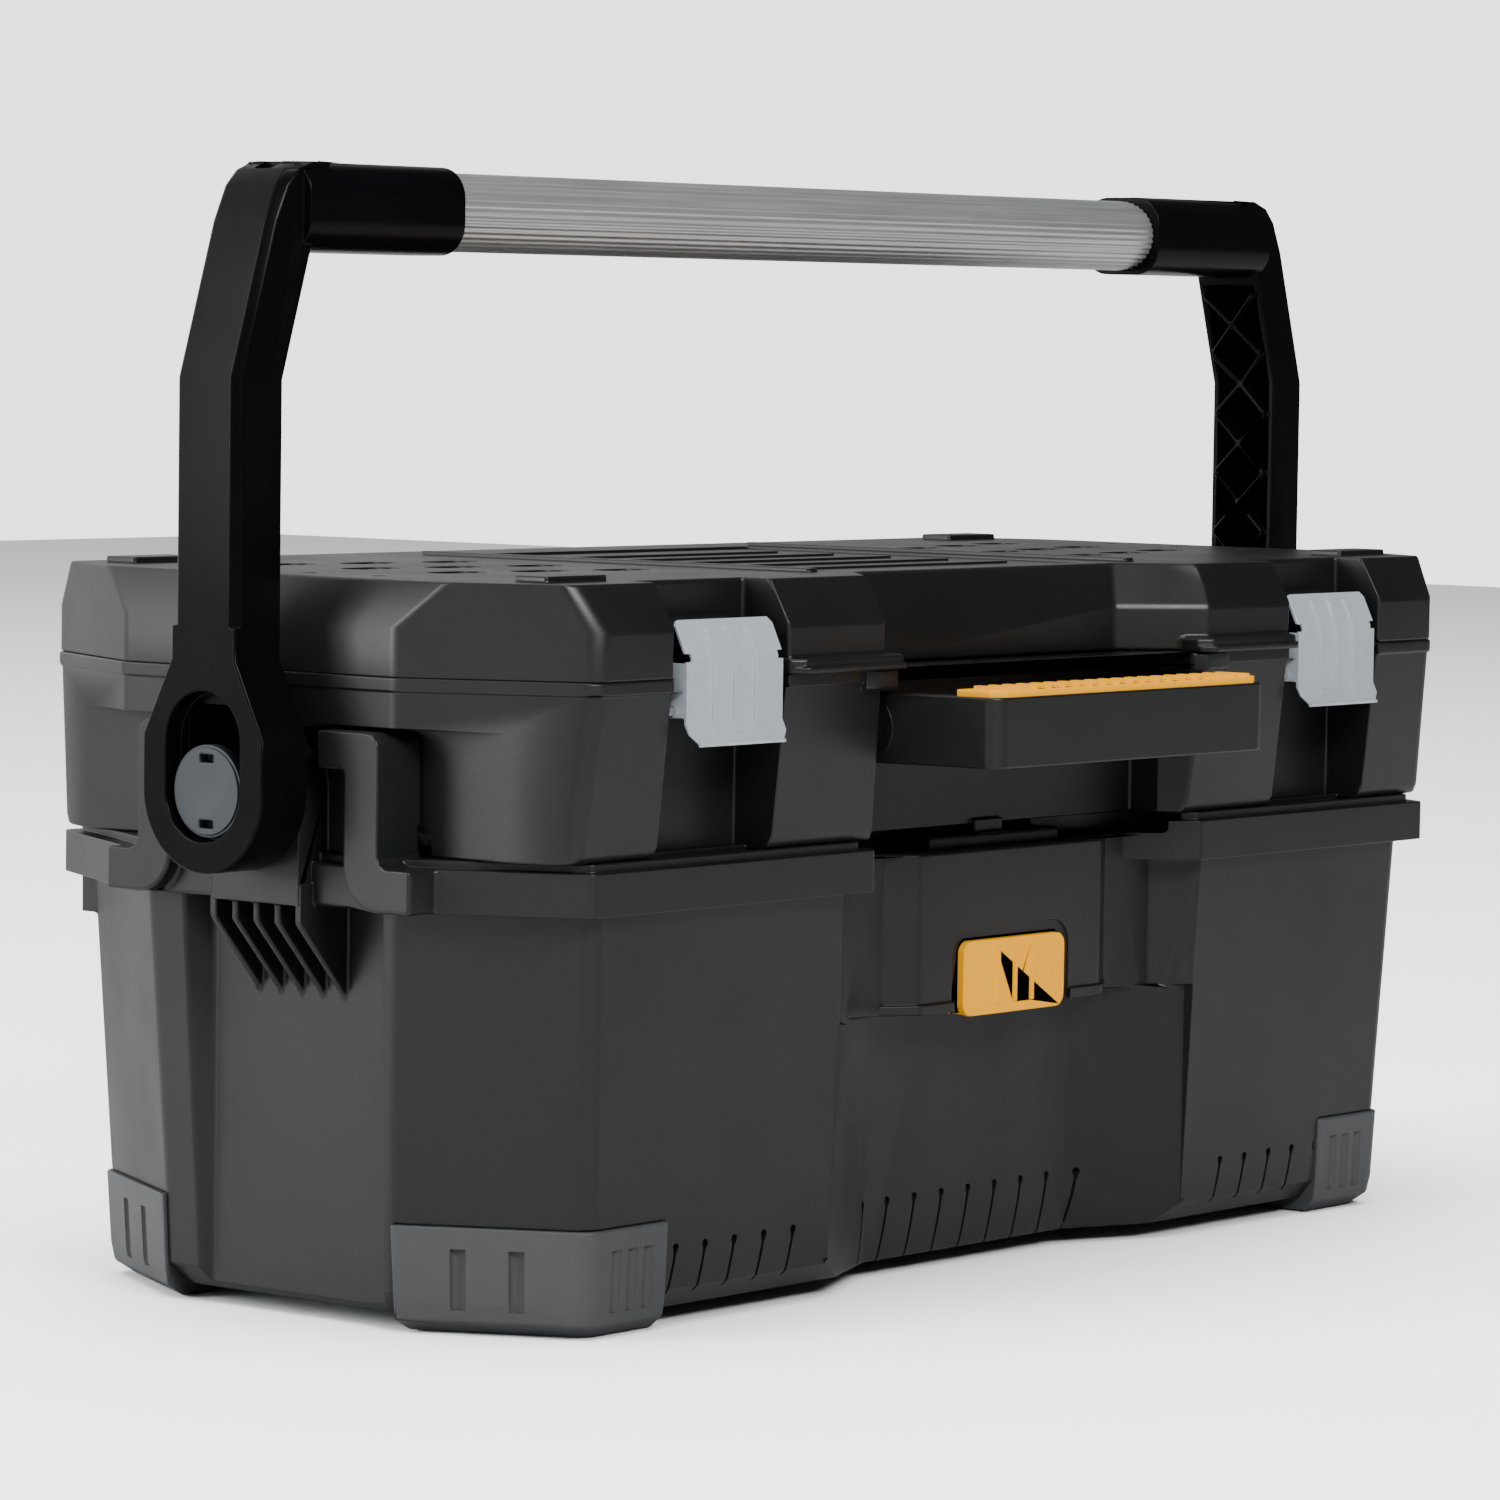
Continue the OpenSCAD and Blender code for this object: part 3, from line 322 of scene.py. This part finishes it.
materials = {
    "black_plastic": plasticMaterial("grainedBlack"),
    "foot_plastic": plasticMaterial("footPlastic"),
    "slate_plastic": plasticMaterial("slatePlastic"),
    "tray_plastic": plasticMaterial("trayPlastic"),
    "yellow_plastic": plasticMaterial("yellowPlastic"),
    "latch_steel": latchMaterial(),
    "pin_steel": steelMaterial(),
    "bar_aluminium": aluminiumMaterial(),
}
# the arms are polished where the body mouldings are grained
smoothBlack = plasticMaterial("smoothBlack")
smoothNodes = ("left_arm", "right_arm")
print("materials made")


# finishing the mouldings

# edge rounding of each node, in millimetres, and the angle in degrees above which an edge is rounded;
# a width of 0 leaves a node's own edges, and nodes that aren't named here take plainRounding
plainRounding = (0.3, 30)
rounding = {
    "tub": (1.6, 28), "case_base": (1.4, 28), "case_lid": (1.6, 28), "tray": (0.8, 28),
    "front_left_foot": (1.2, 28), "front_right_foot": (1.2, 28),
    "rear_left_foot": (1.2, 28), "rear_right_foot": (1.2, 28),
    "left_arm": (1.0, 30), "right_arm": (1.0, 30), "handle_bar": (0.0, 30),
    "case_handle": (2.2, 28), "grip_pad": (0.7, 28), "release_button": (0.8, 28),
    "left_latch": (0.35, 28), "right_latch": (0.35, 28),
    "left_pivot_cap": (0.5, 28), "right_pivot_cap": (0.5, 28),
    "left_pivot_bush": (0.4, 30), "right_pivot_bush": (0.4, 30),
    "left_slot_shoe": (0.4, 30), "right_slot_shoe": (0.4, 30),
}


# merging and joining of a node's triangles, the share of the free room that a rounding takes, the least
# weight, and the angle at which shading breaks; lengths in millimetres, angles in degrees
finish = {"weld": 0.004, "flat": 1.2, "roomShare": 0.36, "leastWeight": 0.03, "segments": 3, "smooth": 32}


def cleanMesh(node):
    # merged copy of a node's triangles, with flat faces joined into polygons
    work = bmesh.new()
    work.from_mesh(nodes[node].data)
    bmesh.ops.remove_doubles(work, verts=work.verts, dist=finish["weld"] * mm)
    bmesh.ops.dissolve_limit(work, angle_limit=math.radians(finish["flat"]), verts=work.verts,
                             edges=work.edges, use_dissolve_boundaries=False)
    return work


def applyModifiers(piece):
    depsgraph = bpy.context.evaluated_depsgraph_get()
    done = bpy.data.meshes.new_from_object(piece.evaluated_get(depsgraph))
    piece.modifiers.clear()
    piece.data = done


def camel(name):
    words = name.split("_")
    return words[0] + "".join(x.title() for x in words[1:])


def adopt(piece, node):
    # the piece takes over a node: its place in the tree, its slot and its finish
    piece.data.materials.clear()
    piece.data.materials.append(smoothBlack if node in smoothNodes else materials[slotOf[node]])
    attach(piece, bodyOf[node])
    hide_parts(node)


def weighEdges(work, width, angle):
    # each sharp edge gets the share of the rounding that its neighbours leave room for: a part of the
    # narrower face beside it and of the shortest sharp edge that meets it
    layer = work.edges.layers.float.new("bevel_weight_edge")
    sharp = {e for e in work.edges if len(e.link_faces) == 2 and e.calc_face_angle(0.0) > angle}
    for edge in sharp:
        length = max(edge.calc_length(), 1e-6)
        room = min(face.calc_area() / length for face in edge.link_faces)
        for corner in edge.verts:
            for other in corner.link_edges:
                if other is not edge and other in sharp:
                    room = min(room, other.calc_length())
        edge[layer] = max(finish["leastWeight"], min(1.0, finish["roomShare"] * room / width))


def roundedCopy(node):
    width, angle = rounding.get(node, plainRounding)
    work = cleanMesh(node)
    if width > 0:
        weighEdges(work, width * mm, math.radians(angle))
    mesh = bpy.data.meshes.new(camel(node))
    work.to_mesh(mesh)
    work.free()
    piece = bpy.data.objects.new(camel(node), mesh)
    bpy.context.scene.collection.objects.link(piece)
    if width > 0:
        bevel = piece.modifiers.new("edges", "BEVEL")
        bevel.width = width * mm
        bevel.segments = finish["segments"]
        bevel.limit_method = "WEIGHT"
        bevel.use_clamp_overlap = False
        bevel.miter_outer = "MITER_ARC"
        bevel.harden_normals = False
    applyModifiers(piece)
    if node == "tub":
        cutGills(piece)
    for face in piece.data.polygons:
        face.use_smooth = True
    piece.data.set_sharp_from_angle(angle=math.radians(finish["smooth"]))
    weigh = piece.modifiers.new("normals", "WEIGHTED_NORMAL")
    weigh.keep_sharp = True
    applyModifiers(piece)
    adopt(piece, node)
    return piece


# slanting grooves along the foot of the tub's front and rear, in millimetres from the tub's middle
gills = {"pitch": 17.4, "top": 31.0, "lean": 9.5, "bend": 1.4, "width": 1.5, "headRadius": 1.7, "depth": 1.9,
         "overrun": 9.0, "below": -2.0, "steps": 12, "headSteps": 9,
         "pillars": (-207.0, -190.0, -173.0, -155.5, -138.0), "pillarFace": 121.9,
         "middle": 8, "middleStart": -69.0, "middleFace": 99.9}


def gillCutter(x, face, sign):
    # one groove: its middle line is x - lean * (1 - t)^bend while the height runs from below to the head's
    # middle, its half width is width / 2 * (0.75 + 0.25 t), a round head closes it at the top, and the
    # outline is carried from depth inside the face to overrun outside it
    t = np.linspace(0.0, 1.0, gills["steps"])
    middle = x - gills["lean"] * (1 - t) ** gills["bend"]
    height = gills["below"] + t * (gills["top"] - gills["below"] - gills["headRadius"])
    half = gills["width"] / 2 * (0.75 + 0.25 * t)
    turn = np.linspace(-0.25 * math.pi, 1.25 * math.pi, gills["headSteps"])
    radius = gills["headRadius"]
    head = np.stack([x + radius * np.cos(turn), gills["top"] - radius * (1 - np.sin(turn))], 1)
    right = np.stack([middle + half, height], 1)[:-1]
    left = np.stack([middle - half, height], 1)[:-1][::-1]
    outline = np.concatenate([right, head, left])
    n = len(outline)
    near = np.column_stack([outline[:, 0], np.full(n, face - sign * gills["depth"]), outline[:, 1]])
    far = np.column_stack([outline[:, 0], np.full(n, face + sign * gills["overrun"]), outline[:, 1]])
    points = np.concatenate([near, far]) * mm + np.array([0, tubMiddle, 0])
    i = np.arange(n)
    k = (i + 1) % n
    sides = np.stack([i, k, k + n, i + n], 1)
    faces = [list(i), list((i + n)[::-1])] + sides.tolist()
    if sign > 0:
        faces = [f[::-1] for f in faces]
    return points, faces


def cutGills(piece):
    points, faces, count = [], [], 0
    for sign in (-1, 1):
        spots = [(x, gills["pillarFace"]) for x in gills["pillars"]]
        spots += [(-x + gills["lean"] / 2, gills["pillarFace"]) for x in gills["pillars"]]
        spots += [(gills["middleStart"] + i * gills["pitch"], gills["middleFace"])
                  for i in range(gills["middle"] + 1)]
        for x, face in spots:
            p, f = gillCutter(x, sign * face, sign)
            points.append(p)
            faces += [[v + count for v in one] for one in f]
            count += len(p)
    mesh = bpy.data.meshes.new("gillCutter")
    mesh.from_pydata(np.concatenate(points).tolist(), [], faces)
    work = bmesh.new()
    work.from_mesh(mesh)
    bmesh.ops.recalc_face_normals(work, faces=work.faces)
    work.to_mesh(mesh)
    work.free()
    cutter = bpy.data.objects.new("gillCutter", mesh)
    bpy.context.scene.collection.objects.link(cutter)
    cut = piece.modifiers.new("gills", "BOOLEAN")
    cut.operation = "DIFFERENCE"
    cut.solver = "EXACT"
    cut.object = cutter
    applyModifiers(piece)
    bpy.data.objects.remove(cutter)


tubLow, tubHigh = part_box("tub")
tubMiddle = (tubLow.y + tubHigh.y) / 2
pieces = {node: roundedCopy(node) for node in nodes}
print("mouldings rounded:", sum(len(p.data.polygons) for p in pieces.values()), "faces")


# stage: floor, light and camera

# floor sizes in metres; front and behind are the room's brightness, seen is what the camera sees of it
studio = {"floorColour": (0.92, 0.92, 0.92), "floorBounce": (0.30, 0.30, 0.30), "floorHalf": 6.0,
          "floorDrop": 0.0004, "floorRough": 0.7, "front": 0.06, "behind": 1.9, "seen": 2.6}

floorMesh = bpy.data.meshes.new("studioFloor")
h = studio["floorHalf"]
z = -studio["floorDrop"]
floorMesh.from_pydata([(-h, -h, z), (h, -h, z), (h, h, z), (-h, h, z)], [], [(0, 1, 2, 3)])
floorPiece = bpy.data.objects.new("studioFloor", floorMesh)
bpy.context.scene.collection.objects.link(floorPiece)
floorMaterial, w, shader = newMaterial("paleFloor")
# pale to the camera and greyer to bounced light, so that the floor doesn't wash out the black pieces
seen = w.add("ShaderNodeLightPath").outputs["Is Camera Ray"]
w.join(mixColours(w, seen, studio["floorBounce"], studio["floorColour"]), shader.inputs["Base Color"])
shader.inputs["Roughness"].default_value = studio["floorRough"]
floorMesh.materials.append(floorMaterial)

# a bright wall behind the object and a dimmer room in front of it; the camera sees plain white
world = bpy.data.worlds.new("studioSky")
world.use_nodes = True
w = Wiring(world.node_tree)
background = world.node_tree.nodes["Background"]
direction = w.add("ShaderNodeSeparateXYZ")
w.join(w.add("ShaderNodeTexCoord").outputs["Generated"], direction.inputs[0])
across = mathNode(w, "MULTIPLY", direction.outputs["X"], -0.5)
facing = mathNode(w, "ADD", mathNode(w, "MULTIPLY", direction.outputs["Y"], 0.85), across)
wall = rampOf(w, facing, -0.1, 0.85, studio["front"], studio["behind"])
seen = w.add("ShaderNodeLightPath").outputs["Is Camera Ray"]
strength = w.add("ShaderNodeMix")
w.join(seen, strength.inputs[0])
w.join(wall, strength.inputs[2])
strength.inputs[3].default_value = studio["seen"]
w.join(strength.outputs[0], background.inputs[1])
background.inputs[0].default_value = (1, 1, 1, 1)
bpy.context.scene.world = world

# softboxes: place in metres, aim, size, power in watts
softboxes = {
    "overhead": ((-0.3, -0.1, 2.3), (0, 0, 0.2), (0.7, 1.0), 20),
    "leftBox": ((-2.2, 1.1, 0.9), (-0.2, 0, 0.2), (0.8, 1.3), 40),
    "keyBox": ((-1.1, -2.5, 1.9), (0, 0, 0.15), (1.1, 0.9), 110),
    "floorWash": ((0.0, 0.0, 4.0), (0, 0, 0), (6.0, 6.0), 600),
}
for label, (spot, aim, size, power) in softboxes.items():
    lamp = bpy.data.lights.new(label, "AREA")
    lamp.shape = "RECTANGLE"
    lamp.size, lamp.size_y = size
    lamp.energy = power
    holder = bpy.data.objects.new(label, lamp)
    bpy.context.scene.collection.objects.link(holder)
    holder.location = spot
    holder.rotation_euler = (Vector(aim) - Vector(spot)).to_track_quat("-Z", "Y").to_euler()
    if label == "floorWash":
        # this box lights the floor alone, so that a pale floor doesn't need a bright room
        floorOnly = bpy.data.collections.new("floorOnly")
        floorOnly.objects.link(floorPiece)
        holder.light_linking.receiver_collection = floorOnly

# the camera looks from the front left, a little above the rim
view = {"place": (-1.9729, -1.57925, 0.3681), "azimuth": -50.77, "height": 3.88, "roll": 0.81,
        "lens": 150.5, "shift": (0.0019, 0.0033)}
az, el, roll = (math.radians(view[k]) for k in ("azimuth", "height", "roll"))
back = Vector((math.sin(az) * math.cos(el), -math.cos(az) * math.cos(el), math.sin(el)))
level = Vector((math.cos(az), math.sin(az), 0))
upright = back.cross(level)
right = level * math.cos(roll) + upright * math.sin(roll)
up = upright * math.cos(roll) - level * math.sin(roll)
cameraData = bpy.data.cameras.new("viewCamera")
cameraData.lens = view["lens"]
cameraData.sensor_width = 36
cameraData.shift_x, cameraData.shift_y = view["shift"]
cameraData.clip_end = 50
camera = bpy.data.objects.new("mainCamera", cameraData)
bpy.context.scene.collection.objects.link(camera)
camera.matrix_world = Matrix.Translation(view["place"]) @ Matrix((right, up, back)).transposed().to_4x4()
bpy.context.scene.camera = camera
print("studio set")
